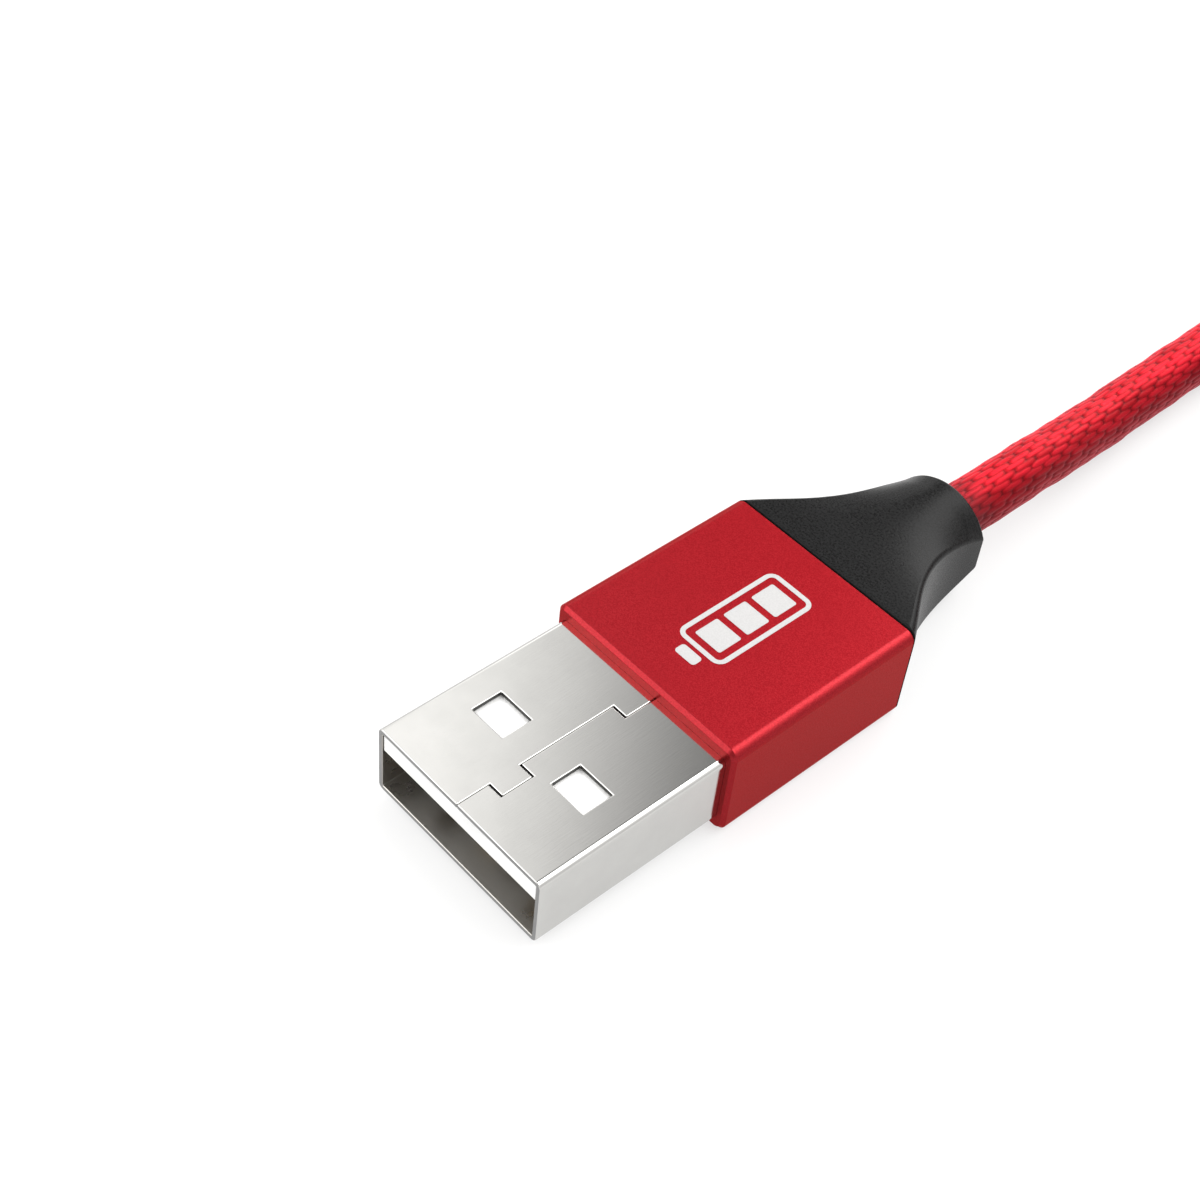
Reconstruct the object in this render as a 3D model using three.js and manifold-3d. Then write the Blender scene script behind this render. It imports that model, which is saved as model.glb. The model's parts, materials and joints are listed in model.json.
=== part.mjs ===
// A phone charging cable: a USB-A plug, one metre of braided cord and a USB-C plug.
//
// Millimetres, +Z up. The USB-A plug lies on z = 0 with its axis along Y: its tip points to -Y and
// the cord leaves its strain relief towards +Y. The origin is under the middle of the USB-A plug.
// The cord runs along the surface into a hank of six turns, which a strap holds at its waist, and
// the USB-C plug lies on the hank.
import * as THREE from 'three';
import { mergeVertices } from 'three/addons/utils/BufferGeometryUtils.js';
import Module from 'manifold-3d';

const wasm = await Module();
wasm.setup();

// ---------------------------------------------------------------- driving dimensions

// Each plug is drawn with its tip at y = 0, its axis on z = 0 and the cord leaving at +y.
const TYPE_A = {
  shell: { width: 12.0, height: 4.5, corner: 0.35, wall: 0.3, exposed: 11.8, length: 18.8 },
  window: { width: 2.3, length: 1.85, offset: 2.95, from: 4.28 },
  tongue: { width: 11.3, bottom: 0.78, front: 0.08, depth: 8.9, end: 17.4 },
  contact: { width: 1.0, thick: 0.25, tail: 19.9, hook: 0.25 },
  can: { width: 11.2, height: 4.2, corner: 0.5, wall: 0.3, from: 18.95, to: 23.0 },
  mould: { width: 12.0, height: 5.0, corner: 0.5, from: 19.05, to: 23.15 },
  housing: { width: 13.0, height: 6.0, corner: 0.6, length: 13.0, step: 18.9, rear: [12.3, 5.3] },
  boot: { length: 10.2, endRadius: 2.95, spigot: 1.5, spigotSize: [11.8, 4.9] },
};
const TYPE_C = {
  shell: { width: 8.25, height: 2.4, wall: 0.2, exposed: 6.65, length: 12.0 },
  insulator: { width: 7.8, height: 1.95, mouth: [7.0, 0.9], from: 0.3, to: 9.5 },
  contact: { width: 0.25, thick: 0.14, from: 1.6, to: 11.4, pitch: 0.5 },
  board: { width: 6.6, thick: 0.56, from: 9.7, to: 15.5 },
  can: { width: 9.0, height: 3.5, corner: 0.6, wall: 0.25, from: 12.3, to: 17.6 },
  mould: { width: 9.7, height: 4.3, corner: 0.7, from: 12.2, to: 17.4 },
  housing: { width: 11.0, height: 5.2, corner: 1.0, length: 13.0, step: 12.1, rear: [10.0, 4.6] },
  boot: { length: 9.35, endRadius: 2.5, spigot: 0, spigotSize: [0, 0] },
};
const CRIMP = { inner: 1.95, wall: 0.2, boreRadius: 2.3, length: 4.6 };
const CORD_RADIUS = 1.65;
const WIRE = { radius: 0.4, spread: 0.55 };
const GAP = 0.3; // between cord solids and what they meet
const FIT = 0.03; // clearance of a piece that sits in another

const A_LENGTH = TYPE_A.shell.exposed + TYPE_A.housing.length + TYPE_A.boot.length;
const A_HEIGHT = TYPE_A.housing.height / 2; // of the plug's axis above the surface
const C_LENGTH = TYPE_C.shell.exposed + TYPE_C.housing.length + TYPE_C.boot.length;

// The hank is wound in two tracks side by side and three layers. Its end loops have the cord's
// axis on arcs of loopRadius, and arcs of waistRadius bring the runs together under the strap.
const HANK = { x: 8.4, nearEnd: 55.5, loopRadius: 9.9, waistRadius: 13.2, layers: 3, base: 0.1 };
const STRAP = { length: 12.0, thick: 1.0, flap: 8.0 };

// The cord's route from the USB-A plug to the hank, axis points by hand: straight out, down to
// the surface, then to the hank's outer track.
const RUN_POINTS = [
  [0, 17.8, 3.0], [0, 20.5, 3.0], [-0.1, 24, 2.86], [-0.33, 28, 2.42], [-0.58, 32, 1.98],
  [-0.8, 36, 1.76], [-0.92, 40, 1.7], [-1.0, 44, 1.7], [-1.2, 48, 1.7], [-1.85, 53, 1.7],
  [-2.9, 57.6, 1.7], [-3.15, 58.8, 1.7],
];

// ---------------------------------------------------------------- colours

const FINISH = {
  steel: [0xd6d4d0, 0.18, 1.0],
  white_plastic: [0xe9e9e6, 0.45, 0.0],
  black_plastic: [0x1c1c1e, 0.5, 0.0],
  gold: [0xc79a42, 0.28, 1.0],
  red_aluminium: [0xa81f2a, 0.42, 1.0],
  black_rubber: [0x2a2a2b, 0.75, 0.0],
  red_braid: [0xc8152b, 0.5, 0.0],
  strap: [0x17171a, 0.9, 0.0],
  mould: [0xd8d3c4, 0.6, 0.0],
  board: [0x1f5b3a, 0.5, 0.0],
  wire_red: [0xb01818, 0.5, 0.0],
  wire_white: [0xe4e4e0, 0.5, 0.0],
  wire_green: [0x1d7a3a, 0.5, 0.0],
  wire_black: [0x141414, 0.5, 0.0],
};

function piece(name, finish, geometry) {
  const [color, roughness, metalness] = FINISH[finish];
  const material = new THREE.MeshStandardMaterial({ color, roughness, metalness });
  const mesh = new THREE.Mesh(geometry, material);
  mesh.name = name;
  return mesh;
}

// ---------------------------------------------------------------- geometry helpers

function manifoldOf(geometry) {
  const bare = geometry.clone();
  bare.deleteAttribute('normal');
  bare.deleteAttribute('uv');
  const merged = mergeVertices(bare, 1e-4);
  const vertProperties = new Float32Array(merged.attributes.position.array);
  const triVerts = new Uint32Array(merged.index.array);
  return new wasm.Manifold(new wasm.Mesh({ numProp: 3, vertProperties, triVerts }));
}

function geometryOf(manifold) {
  const mesh = manifold.getMesh();
  const geometry = new THREE.BufferGeometry();
  geometry.setAttribute('position', new THREE.BufferAttribute(mesh.vertProperties, 3));
  geometry.setIndex(new THREE.BufferAttribute(mesh.triVerts, 1));
  geometry.computeVertexNormals();
  return geometry;
}

function cut(body, ...tools) {
  let result = manifoldOf(body);
  for (const tool of tools) result = result.subtract(manifoldOf(tool));
  return geometryOf(result);
}

function join(body, ...others) {
  let result = manifoldOf(body);
  for (const other of others) result = result.add(manifoldOf(other));
  return geometryOf(result);
}

// An outline in x and z, drawn from y = from to y = to.
function alongY(shape, from, to, curveSegments = 5) {
  const options = { depth: to - from, bevelEnabled: false, curveSegments };
  return new THREE.ExtrudeGeometry(shape, options).rotateX(Math.PI / 2).translate(0, to, 0);
}

// An outline in x and y, drawn from z = from to z = to.
function alongZ(shape, from, to, curveSegments = 5) {
  const options = { depth: to - from, bevelEnabled: false, curveSegments };
  return new THREE.ExtrudeGeometry(shape, options).translate(0, 0, from);
}

function boxBetween([x0, y0, z0], [x1, y1, z1]) {
  const box = new THREE.BoxGeometry(x1 - x0, y1 - y0, z1 - z0);
  return box.translate((x0 + x1) / 2, (y0 + y1) / 2, (z0 + z1) / 2);
}

function roundedRectangle(width, height, corner) {
  const x = width / 2;
  const z = height / 2;
  const r = Math.min(corner, z - 0.005);
  const shape = new THREE.Shape();
  shape.moveTo(x, r - z);
  shape.lineTo(x, z - r);
  shape.absarc(x - r, z - r, r, 0, Math.PI / 2);
  shape.lineTo(r - x, z);
  shape.absarc(r - x, z - r, r, Math.PI / 2, Math.PI);
  shape.lineTo(-x, r - z);
  shape.absarc(r - x, r - z, r, Math.PI, 1.5 * Math.PI);
  shape.lineTo(x - r, -z);
  shape.absarc(x - r, r - z, r, 1.5 * Math.PI, 2 * Math.PI);
  return shape;
}

function withHole(shape, hole) {
  shape.holes.push(hole);
  return shape;
}

function circle(radius, sides) {
  const corners = [];
  for (let k = 0; k < sides; k += 1) {
    const angle = (2 * Math.PI * k) / sides;
    corners.push(new THREE.Vector2(radius * Math.cos(angle), radius * Math.sin(angle)));
  }
  return new THREE.Shape(corners);
}

function rodAlongY(radius, from, to, sides = 20) {
  return alongY(circle(radius, sides), from, to);
}

function tubeAlong(points, radius, sides, steps) {
  const path = new THREE.CatmullRomCurve3(points.map((p) => new THREE.Vector3(...p)));
  return new THREE.ExtrudeGeometry(circle(radius, sides), { steps, extrudePath: path });
}

// The convex outline around circles of one radius, given their centres in x and z.
function hullOutline(centres, radius, sides = 24) {
  const dots = [];
  for (const [x, z] of centres) {
    for (const corner of circle(radius, sides).getPoints()) dots.push([x + corner.x, z + corner.y]);
  }
  dots.sort((p, q) => p[0] - q[0] || p[1] - q[1]);
  const turn = (o, p, q) => (p[0] - o[0]) * (q[1] - o[1]) - (p[1] - o[1]) * (q[0] - o[0]);
  const half = (list) => {
    const kept = [];
    for (const dot of list) {
      while (kept.length > 1 && turn(kept.at(-2), kept.at(-1), dot) <= 1e-6) kept.pop();
      kept.push(dot);
    }
    return kept.slice(0, -1);
  };
  const outline = [...half(dots), ...half([...dots].reverse())];
  return new THREE.Shape(outline.map(([x, z]) => new THREE.Vector2(x, z)));
}

// A closed skin over rings of equal point counts, with flat ends.
function loft(rings) {
  const count = rings[0].length;
  const positions = [...rings.flat(2)];
  const index = [];
  for (let k = 0; k + 1 < rings.length; k += 1) {
    for (let j = 0; j < count; j += 1) {
      const a = k * count + j;
      const b = k * count + ((j + 1) % count);
      index.push(a, b, a + count, b, b + count, a + count);
    }
  }
  const last = (rings.length - 1) * count;
  const middles = [rings[0], rings.at(-1)].map((ring) => [0, ring[0][1], 0]);
  positions.push(...middles.flat());
  const centre = rings.length * count;
  for (let j = 0; j < count; j += 1) {
    const next = (j + 1) % count;
    index.push(centre, next, j, centre + 1, last + j, last + next);
  }
  const geometry = new THREE.BufferGeometry();
  geometry.setAttribute('position', new THREE.Float32BufferAttribute(positions, 3));
  geometry.setIndex(index);
  return geometry;
}

// ---------------------------------------------------------------- strain relief

// One section of the strain relief: upright sides, an arched top and bottom that fall by sag from
// the middle to the sides, and soft edges of one radius between them.
function bootRing(y, halfWidth, halfHeight, sag, edge, archSteps = 4, edgeSteps = 4) {
  const archRadius = (halfWidth ** 2 + sag ** 2) / (2 * sag);
  const inner = archRadius - edge;
  const lean = Math.asin((halfWidth - edge) / inner);
  const edgeZ = halfHeight - archRadius + inner * Math.cos(lean);
  const quarter = [];
  for (let k = 0; k <= edgeSteps; k += 1) {
    const angle = Math.PI / 2 + (lean - Math.PI / 2) * (k / edgeSteps);
    quarter.push([halfWidth - edge + edge * Math.sin(angle), edgeZ + edge * Math.cos(angle)]);
  }
  for (let k = 1; k <= archSteps; k += 1) {
    const angle = lean * (1 - k / archSteps);
    quarter.push([archRadius * Math.sin(angle), halfHeight - archRadius * (1 - Math.cos(angle))]);
  }
  const left = quarter.slice(0, -1).reverse().map(([x, z]) => [-x, z]);
  const top = [...quarter, ...left];
  const bottom = top.map(([x, z]) => [-x, -z]);
  return [...top, ...bottom].map(([x, z]) => [x, y, z]).reverse();
}

// In plan the shoulders fall from the housing's width to the end in one long curve. The top and
// bottom stay flat on the shoulders and arch more and more from there to the end.
function bootSkin(housing, boot) {
  const { width, height, corner } = housing;
  const { length, endRadius } = boot;
  const shoulder = new THREE.CubicBezierCurve(
    new THREE.Vector2(0, width / 2),
    new THREE.Vector2(0.29 * length, endRadius + 0.46 * (width / 2 - endRadius)),
    new THREE.Vector2(0.39 * length, endRadius),
    new THREE.Vector2(0.88 * length, endRadius),
  );
  const sagAt = (along) => 0.02 + endRadius * 0.65 * Math.max(0, (along - 0.47) / 0.53);
  const edgeAt = (along) => THREE.MathUtils.lerp(corner, 0.45, Math.min(1, along / 0.5));
  const rings = [];
  for (let k = 0; k <= 14; k += 1) {
    const { x: y, y: halfWidth } = shoulder.getPoint(k / 14);
    const along = y / length;
    const halfHeight = THREE.MathUtils.lerp(height / 2, endRadius, along);
    rings.push(bootRing(y, halfWidth, halfHeight, sagAt(along), edgeAt(along)));
  }
  const rim = 0.25;
  for (const [back, inset] of [[rim, 0], [rim * 0.3, rim * 0.3], [0, rim]]) {
    const half = endRadius - inset;
    rings.push(bootRing(length - back, half, half, sagAt(1 - back / length), edgeAt(1)));
  }
  return loft(rings);
}

function makeBoot(plug) {
  const { housing, boot } = plug;
  const start = plug.shell.exposed + housing.length;
  let body = bootSkin(housing, boot).translate(0, start, 0);
  if (boot.spigot > 0) {
    const spigot = roundedRectangle(...boot.spigotSize, housing.corner);
    body = join(body, alongY(spigot, start - boot.spigot, start + 0.5));
  }
  const crimpEnd = plug.can.to + CRIMP.length;
  const crimpBore = rodAlongY(CRIMP.boreRadius + 0.1, start - 3, crimpEnd + GAP);
  const cordBore = rodAlongY(CORD_RADIUS + GAP, start, start + boot.length + 1);
  return cut(body, crimpBore, cordBore);
}

// ---------------------------------------------------------------- shared plug pieces

function makeHousing(plug, mouth) {
  const { housing, shell } = plug;
  const end = shell.exposed + housing.length;
  const skin = roundedRectangle(housing.width, housing.height, housing.corner);
  const rear = roundedRectangle(...housing.rear, housing.corner);
  const body = alongY(skin, shell.exposed, end, 6);
  return cut(body, alongY(mouth, shell.exposed - 1, end, 6), alongY(rear, housing.step, end + 1));
}

// A folded steel can, open towards the tip, with a barrel that is crimped round the cord.
function makeCan({ can }) {
  const outer = alongY(roundedRectangle(can.width, can.height, can.corner), can.from, can.to);
  const inner = roundedRectangle(can.width - 2 * can.wall, can.height - 2 * can.wall, can.corner);
  const barrelEnd = can.to + CRIMP.length;
  const barrel = rodAlongY(CRIMP.inner + CRIMP.wall, can.to - can.wall / 2, barrelEnd);
  const hollow = alongY(inner, can.from - 1, can.to - can.wall);
  return cut(join(outer, barrel), hollow, rodAlongY(CRIMP.inner, can.from, barrelEnd + 1));
}

// A sleeve of plastic moulded round the can.
function makeMould({ can, mould }) {
  const outer = roundedRectangle(mould.width, mould.height, mould.corner);
  const inner = roundedRectangle(can.width + 0.2, can.height + 0.2, can.corner);
  return alongY(withHole(outer, inner), mould.from, mould.to);
}

function makeCordEnd(plug, from) {
  const end = plug.shell.exposed + plug.housing.length + plug.boot.length;
  return rodAlongY(CORD_RADIUS, from, end - GAP, 16);
}

// ---------------------------------------------------------------- USB-A plug

// The shell's fold seam is a jigsaw line of straight cuts along the top.
function seamCuts({ length, height }) {
  const step = 0.93;
  const slit = 0.06;
  const corners = [[0, -1], [0, 1.97], [step, 1.97], [step, 3.9], [0, 3.9], [0, 9.85],
    [step, 9.85], [step, length + 1]];
  const top = height / 2 + 1;
  const cuts = [];
  for (let k = 0; k + 1 < corners.length; k += 1) {
    const [x0, y0] = corners[k];
    const [x1, y1] = corners[k + 1];
    const low = [Math.min(x0, x1) - slit / 2, Math.min(y0, y1) - slit / 2, 1];
    const high = [Math.max(x0, x1) + slit / 2, Math.max(y0, y1) + slit / 2, top];
    cuts.push(boxBetween(low, high));
  }
  return cuts;
}

function makeShellA({ shell, window: hole }) {
  const { width, height, corner, wall, length } = shell;
  const inner = roundedRectangle(width - 2 * wall, height - 2 * wall, corner - wall + 0.05);
  const tube = alongY(withHole(roundedRectangle(width, height, corner), inner), 0, length);
  const windows = [-1, 1].map((side) => {
    const middle = side * hole.offset;
    const low = [middle - hole.width / 2, hole.from, -height];
    return boxBetween(low, [middle + hole.width / 2, hole.from + hole.length, height]);
  });
  return cut(tube, ...windows, ...seamCuts(shell));
}

const CONTACTS_A = [
  { name: 'contact_power_a', wire: 'wire_red_a', finish: 'wire_red', x: 3.5, from: 1.9 },
  { name: 'contact_data_minus_a', wire: 'wire_white_a', finish: 'wire_white', x: 1.0, from: 2.9 },
  { name: 'contact_data_plus_a', wire: 'wire_green_a', finish: 'wire_green', x: -1.0, from: 2.9 },
  { name: 'contact_ground_a', wire: 'wire_black_a', finish: 'wire_black', x: -3.5, from: 1.9 },
];

function makeInsulatorA({ shell, tongue, contact }) {
  const top = shell.height / 2 - shell.wall - FIT;
  const side = tongue.width / 2;
  const tongueBar = boxBetween([-side, tongue.front, tongue.bottom], [side, tongue.depth + 1, top]);
  const block = boxBetween([-side, tongue.depth, -top], [side, tongue.end, top]);
  const grooves = CONTACTS_A.flatMap(({ x, from }) => {
    const half = contact.width / 2 + 0.1;
    const roof = tongue.bottom + contact.thick + 0.02;
    const groove = [[x - half, from - 0.05, tongue.bottom - 0.05], [x + half, tongue.end + 1, roof]];
    const pocket = [[x - half, from - 0.05, tongue.bottom - 0.05],
      [x + half, from + contact.hook + 0.05, roof + contact.hook + 0.05]];
    return [boxBetween(...groove), boxBetween(...pocket)];
  });
  return cut(join(tongueBar, block), ...grooves);
}

// A flat spring strip under the tongue, hooked up into it at the front.
function makeContactA({ tongue, contact }, x, from) {
  const low = tongue.bottom - FIT;
  const high = low + contact.thick;
  const strip = boxBetween(
    [x - contact.width / 2, from, low],
    [x + contact.width / 2, contact.tail, high],
  );
  const hook = boxBetween(
    [x - contact.width / 2, from, low],
    [x + contact.width / 2, from + contact.hook, high + contact.hook],
  );
  return join(strip, hook);
}

function makeWireA({ tongue }, x, order) {
  const z = tongue.bottom - FIT - WIRE.radius - 0.05;
  const side = Math.sign(x) * WIRE.spread;
  const height = order === 'outer' ? WIRE.spread : -WIRE.spread;
  return tubeAlong(
    [[x, 18.2, z], [x, 19.6, z], [(x + side) / 2, 21.2, (z + height) / 2],
      [side, 22.8, height], [side, 23.8, height]],
    WIRE.radius, 6, 10,
  );
}

function makePlugA() {
  const plug = TYPE_A;
  const { width, height, corner } = plug.shell;
  const group = new THREE.Group();
  const mouth = roundedRectangle(width + 2 * FIT, height + 2 * FIT, corner + FIT);
  group.add(piece('shell_a', 'steel', makeShellA(plug)));
  group.add(piece('insulator_a', 'white_plastic', makeInsulatorA(plug)));
  for (const { name, wire, finish, x, from } of CONTACTS_A) {
    const order = Math.abs(x) > 2 ? 'outer' : 'inner';
    group.add(piece(name, 'gold', makeContactA(plug, x, from)));
    group.add(piece(wire, finish, makeWireA(plug, x, order)));
  }
  group.add(piece('shield_can_a', 'steel', makeCan(plug)));
  group.add(piece('inner_mould_a', 'mould', makeMould(plug)));
  group.add(piece('cord_end_a', 'red_braid', makeCordEnd(plug, 24.1)));
  group.add(piece('housing_a', 'red_aluminium', makeHousing(plug, mouth)));
  group.add(piece('strain_relief_a', 'black_rubber', makeBoot(plug)));
  return group;
}

// ---------------------------------------------------------------- USB-C plug

// Only the positions that a charging cable with a USB-A end uses are fitted.
const CONTACTS_C = [
  ['a1', 0, 1], ['a4', 3, 1], ['a5', 4, 1], ['a6', 5, 1], ['a7', 6, 1], ['a9', 8, 1],
  ['a12', 11, 1], ['b12', 0, -1], ['b9', 3, -1], ['b4', 8, -1], ['b1', 11, -1],
];

function makeShellC({ shell }) {
  const { width, height, wall, length } = shell;
  const inner = roundedRectangle(width - 2 * wall, height - 2 * wall, height / 2 - wall);
  return alongY(withHole(roundedRectangle(width, height, height / 2), inner), 0, length, 8);
}

function makeInsulatorC({ insulator }) {
  const { width, height, mouth, from, to } = insulator;
  const inner = roundedRectangle(...mouth, 0.05);
  return alongY(withHole(roundedRectangle(width, height, height / 2), inner), from, to, 6);
}

function makeContactC({ contact, insulator }, place, row) {
  const x = (place - 5.5) * contact.pitch;
  const far = row * (insulator.mouth[1] / 2 - 0.01);
  const near = far - row * contact.thick;
  const [low, high] = [Math.min(near, far), Math.max(near, far)];
  return boxBetween(
    [x - contact.width / 2, contact.from, low],
    [x + contact.width / 2, contact.to, high],
  );
}

// A spring arm in the side of the mouth, with a nose that snaps into the socket's tongue.
function makeLatchC(side) {
  const outline = [[3.46, 9.2], [3.28, 9.2], [3.28, 2.0], [3.0, 1.5], [3.28, 0.9], [3.46, 0.9]];
  const shape = new THREE.Shape(outline.map(([x, y]) => new THREE.Vector2(side * x, y)));
  return alongZ(shape, -0.25, 0.25);
}

// A plate behind the mouth's rim whose three fingers touch the socket's shield.
function makeGroundSpringC(row) {
  const plate = boxBetween([-2.6, 0.4, 0.36], [2.6, 0.75, 0.44]);
  const fingers = [-1.8, 0, 1.8].map((x) => boxBetween([x - 0.6, 0.7, 0.34], [x + 0.6, 1.4, 0.44]));
  const spring = join(plate, ...fingers);
  return row > 0 ? spring : spring.rotateY(Math.PI);
}

const WIRES_C = [
  ['wire_red_c', 'wire_red', 1, 1], ['wire_white_c', 'wire_white', -1, 1],
  ['wire_green_c', 'wire_green', -1, -1], ['wire_black_c', 'wire_black', 1, -1],
];

function makeWireC(side, row) {
  const near = [side * WIRE.spread, 17.0, row * WIRE.spread];
  const points = [[side * 1.8, 14.0, row * 0.75], [side * 1.7, 15.2, row * 0.75],
    near, [near[0], 17.8, near[2]]];
  return tubeAlong(points, WIRE.radius, 6, 8);
}

function makePlugC() {
  const plug = TYPE_C;
  const { width, height } = plug.shell;
  const { board } = plug;
  const group = new THREE.Group();
  const mouth = roundedRectangle(width + 2 * FIT, height + 2 * FIT, height / 2 + FIT);
  const half = board.thick / 2;
  const card = boxBetween(
    [-board.width / 2, board.from, -half],
    [board.width / 2, board.to, half],
  );
  const resistor = boxBetween([-0.5, 12.6, half + 0.01], [0.5, 13.1, half + 0.36]);
  group.add(piece('shell_c', 'steel', makeShellC(plug)));
  group.add(piece('insulator_c', 'black_plastic', makeInsulatorC(plug)));
  for (const [name, place, row] of CONTACTS_C) {
    group.add(piece(`contact_${name}_c`, 'gold', makeContactC(plug, place, row)));
  }
  group.add(piece('side_latch_left_c', 'steel', makeLatchC(-1)));
  group.add(piece('side_latch_right_c', 'steel', makeLatchC(1)));
  group.add(piece('ground_spring_top_c', 'steel', makeGroundSpringC(1)));
  group.add(piece('ground_spring_bottom_c', 'steel', makeGroundSpringC(-1)));
  group.add(piece('paddle_board_c', 'board', card));
  group.add(piece('resistor_c', 'black_plastic', resistor));
  for (const [name, finish, side, row] of WIRES_C) {
    group.add(piece(name, finish, makeWireC(side, row)));
  }
  group.add(piece('shield_can_c', 'steel', makeCan(plug)));
  group.add(piece('inner_mould_c', 'mould', makeMould(plug)));
  group.add(piece('cord_end_c', 'red_braid', makeCordEnd(plug, 18.1)));
  group.add(piece('housing_c', 'red_aluminium', makeHousing(plug, mouth)));
  group.add(piece('strain_relief_c', 'black_rubber', makeBoot(plug)));
  return group;
}

// ---------------------------------------------------------------- cord, hank and strap

const PITCH = 2 * CORD_RADIUS; // between the axes of turns that lie side by side
const LOOP_REACH = Math.sqrt(
  (HANK.loopRadius + HANK.waistRadius) ** 2 - (PITCH / 2 + HANK.waistRadius) ** 2,
); // from the waist to the middle of an end loop
const HANK_HALF = LOOP_REACH + HANK.loopRadius + 1.5 * PITCH;
const HANK_Y = HANK.nearEnd + HANK_HALF; // the waist
const HANK_TOP = HANK.base + HANK.layers * PITCH;
const C_X = HANK.x - PITCH / 2;
const C_Z = HANK_TOP + 0.35 + TYPE_C.housing.height / 2;
const C_TIP_Y = HANK_Y + 9.0 + C_LENGTH;

// The cord's axes at the waist, in x and z: two tracks each side, and the end of the cord on top.
function waistCentres() {
  const low = STRAP.thick + 2 * GAP + CORD_RADIUS;
  const high = low + (HANK.layers - 1) * PITCH;
  const side = 1.5 * PITCH;
  return [[-side, low], [side, low], [-side, high], [side, high], [-PITCH / 2, high + PITCH]]
    .map(([x, z]) => [HANK.x + x, z]);
}

// The outer edge of the outer track: arcs round each end loop and arcs of the waist.
function hankOutline() {
  const reach = HANK.loopRadius + 1.5 * PITCH;
  const waist = HANK.waistRadius - 1.5 * PITCH;
  const waistX = PITCH / 2 + HANK.waistRadius;
  const lean = Math.atan2(LOOP_REACH, waistX);
  const shape = new THREE.Shape();
  shape.moveTo(reach * Math.cos(-lean), LOOP_REACH + reach * Math.sin(-lean));
  shape.absarc(0, LOOP_REACH, reach, -lean, Math.PI + lean);
  shape.absarc(-waistX, 0, waist, lean, -lean, true);
  shape.absarc(0, -LOOP_REACH, reach, Math.PI - lean, 2 * Math.PI + lean);
  shape.absarc(waistX, 0, waist, Math.PI + lean, Math.PI - lean, true);
  return shape;
}

function makeHank() {
  const body = alongZ(hankOutline(), HANK.base, HANK_TOP, 18).translate(HANK.x, HANK_Y, 0);
  const centres = waistCentres();
  const outer = hullOutline(centres, CORD_RADIUS + STRAP.thick + 2 * GAP + 2);
  const channel = withHole(outer, hullOutline(centres, CORD_RADIUS));
  const half = STRAP.length / 2 + GAP;
  return cut(body, alongY(channel, HANK_Y - half, HANK_Y + half));
}

function makeStrap() {
  const centres = waistCentres();
  const half = STRAP.length / 2;
  const outer = hullOutline(centres, CORD_RADIUS + GAP + STRAP.thick);
  const band = alongY(withHole(outer, hullOutline(centres, CORD_RADIUS + GAP)), -half, half);
  const side = HANK.x + 1.5 * PITCH + CORD_RADIUS + GAP + STRAP.thick;
  const bottom = centres[1][1];
  const flap = boxBetween([side - 0.05, -half, bottom], [side + 0.8, half, bottom + STRAP.flap]);
  return join(band, flap).translate(0, HANK_Y, 0);
}

// The last stretch lies on the hank, passes under the strap and enters the USB-C plug.
function makeTail() {
  const lift = HANK_TOP + GAP + CORD_RADIUS;
  const under = waistCentres().at(-1)[1];
  const end = C_TIP_Y - C_LENGTH - GAP;
  return tubeAlong(
    [[HANK.x - 8.4, HANK_Y - 17.6, lift], [HANK.x - 5.4, HANK_Y - 14.2, lift + 0.4],
      [C_X - 1.1, HANK_Y - 10.6, under - 0.1], [C_X - 0.05, HANK_Y - 6.5, under],
      [C_X, HANK_Y - 2.2, under], [C_X, HANK_Y + 2.2, under], [C_X, HANK_Y + 6.0, under],
      [C_X, end, C_Z]],
    CORD_RADIUS, 8, 12,
  );
}

function makeCord() {
  const group = new THREE.Group();
  group.add(piece('cord_run', 'red_braid', tubeAlong(RUN_POINTS, CORD_RADIUS, 8, 14)));
  group.add(piece('cord_hank', 'red_braid', makeHank()));
  group.add(piece('cord_tail', 'red_braid', makeTail()));
  group.add(piece('tie_strap', 'strap', makeStrap()));
  return group;
}

// ---------------------------------------------------------------- assembly

const group = new THREE.Group();
const plugA = makePlugA();
plugA.position.set(0, -A_LENGTH / 2, A_HEIGHT);
const plugC = makePlugC();
plugC.position.set(C_X, C_TIP_Y, C_Z);
plugC.rotation.z = Math.PI;
group.add(plugA, plugC, makeCord());

export default group;
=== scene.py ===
"""A phone charging cable, as it looks: the USB-A plug close to the camera, its braided cord going
out of the picture, and out of sight the tied hank with the USB-C plug lying on it.

Metres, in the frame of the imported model: the USB-A plug lies on z = 0 with its tip towards -Y.
"""

import json
import math

import bmesh
import bpy
import numpy as np
from mathutils import Matrix, Vector

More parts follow.
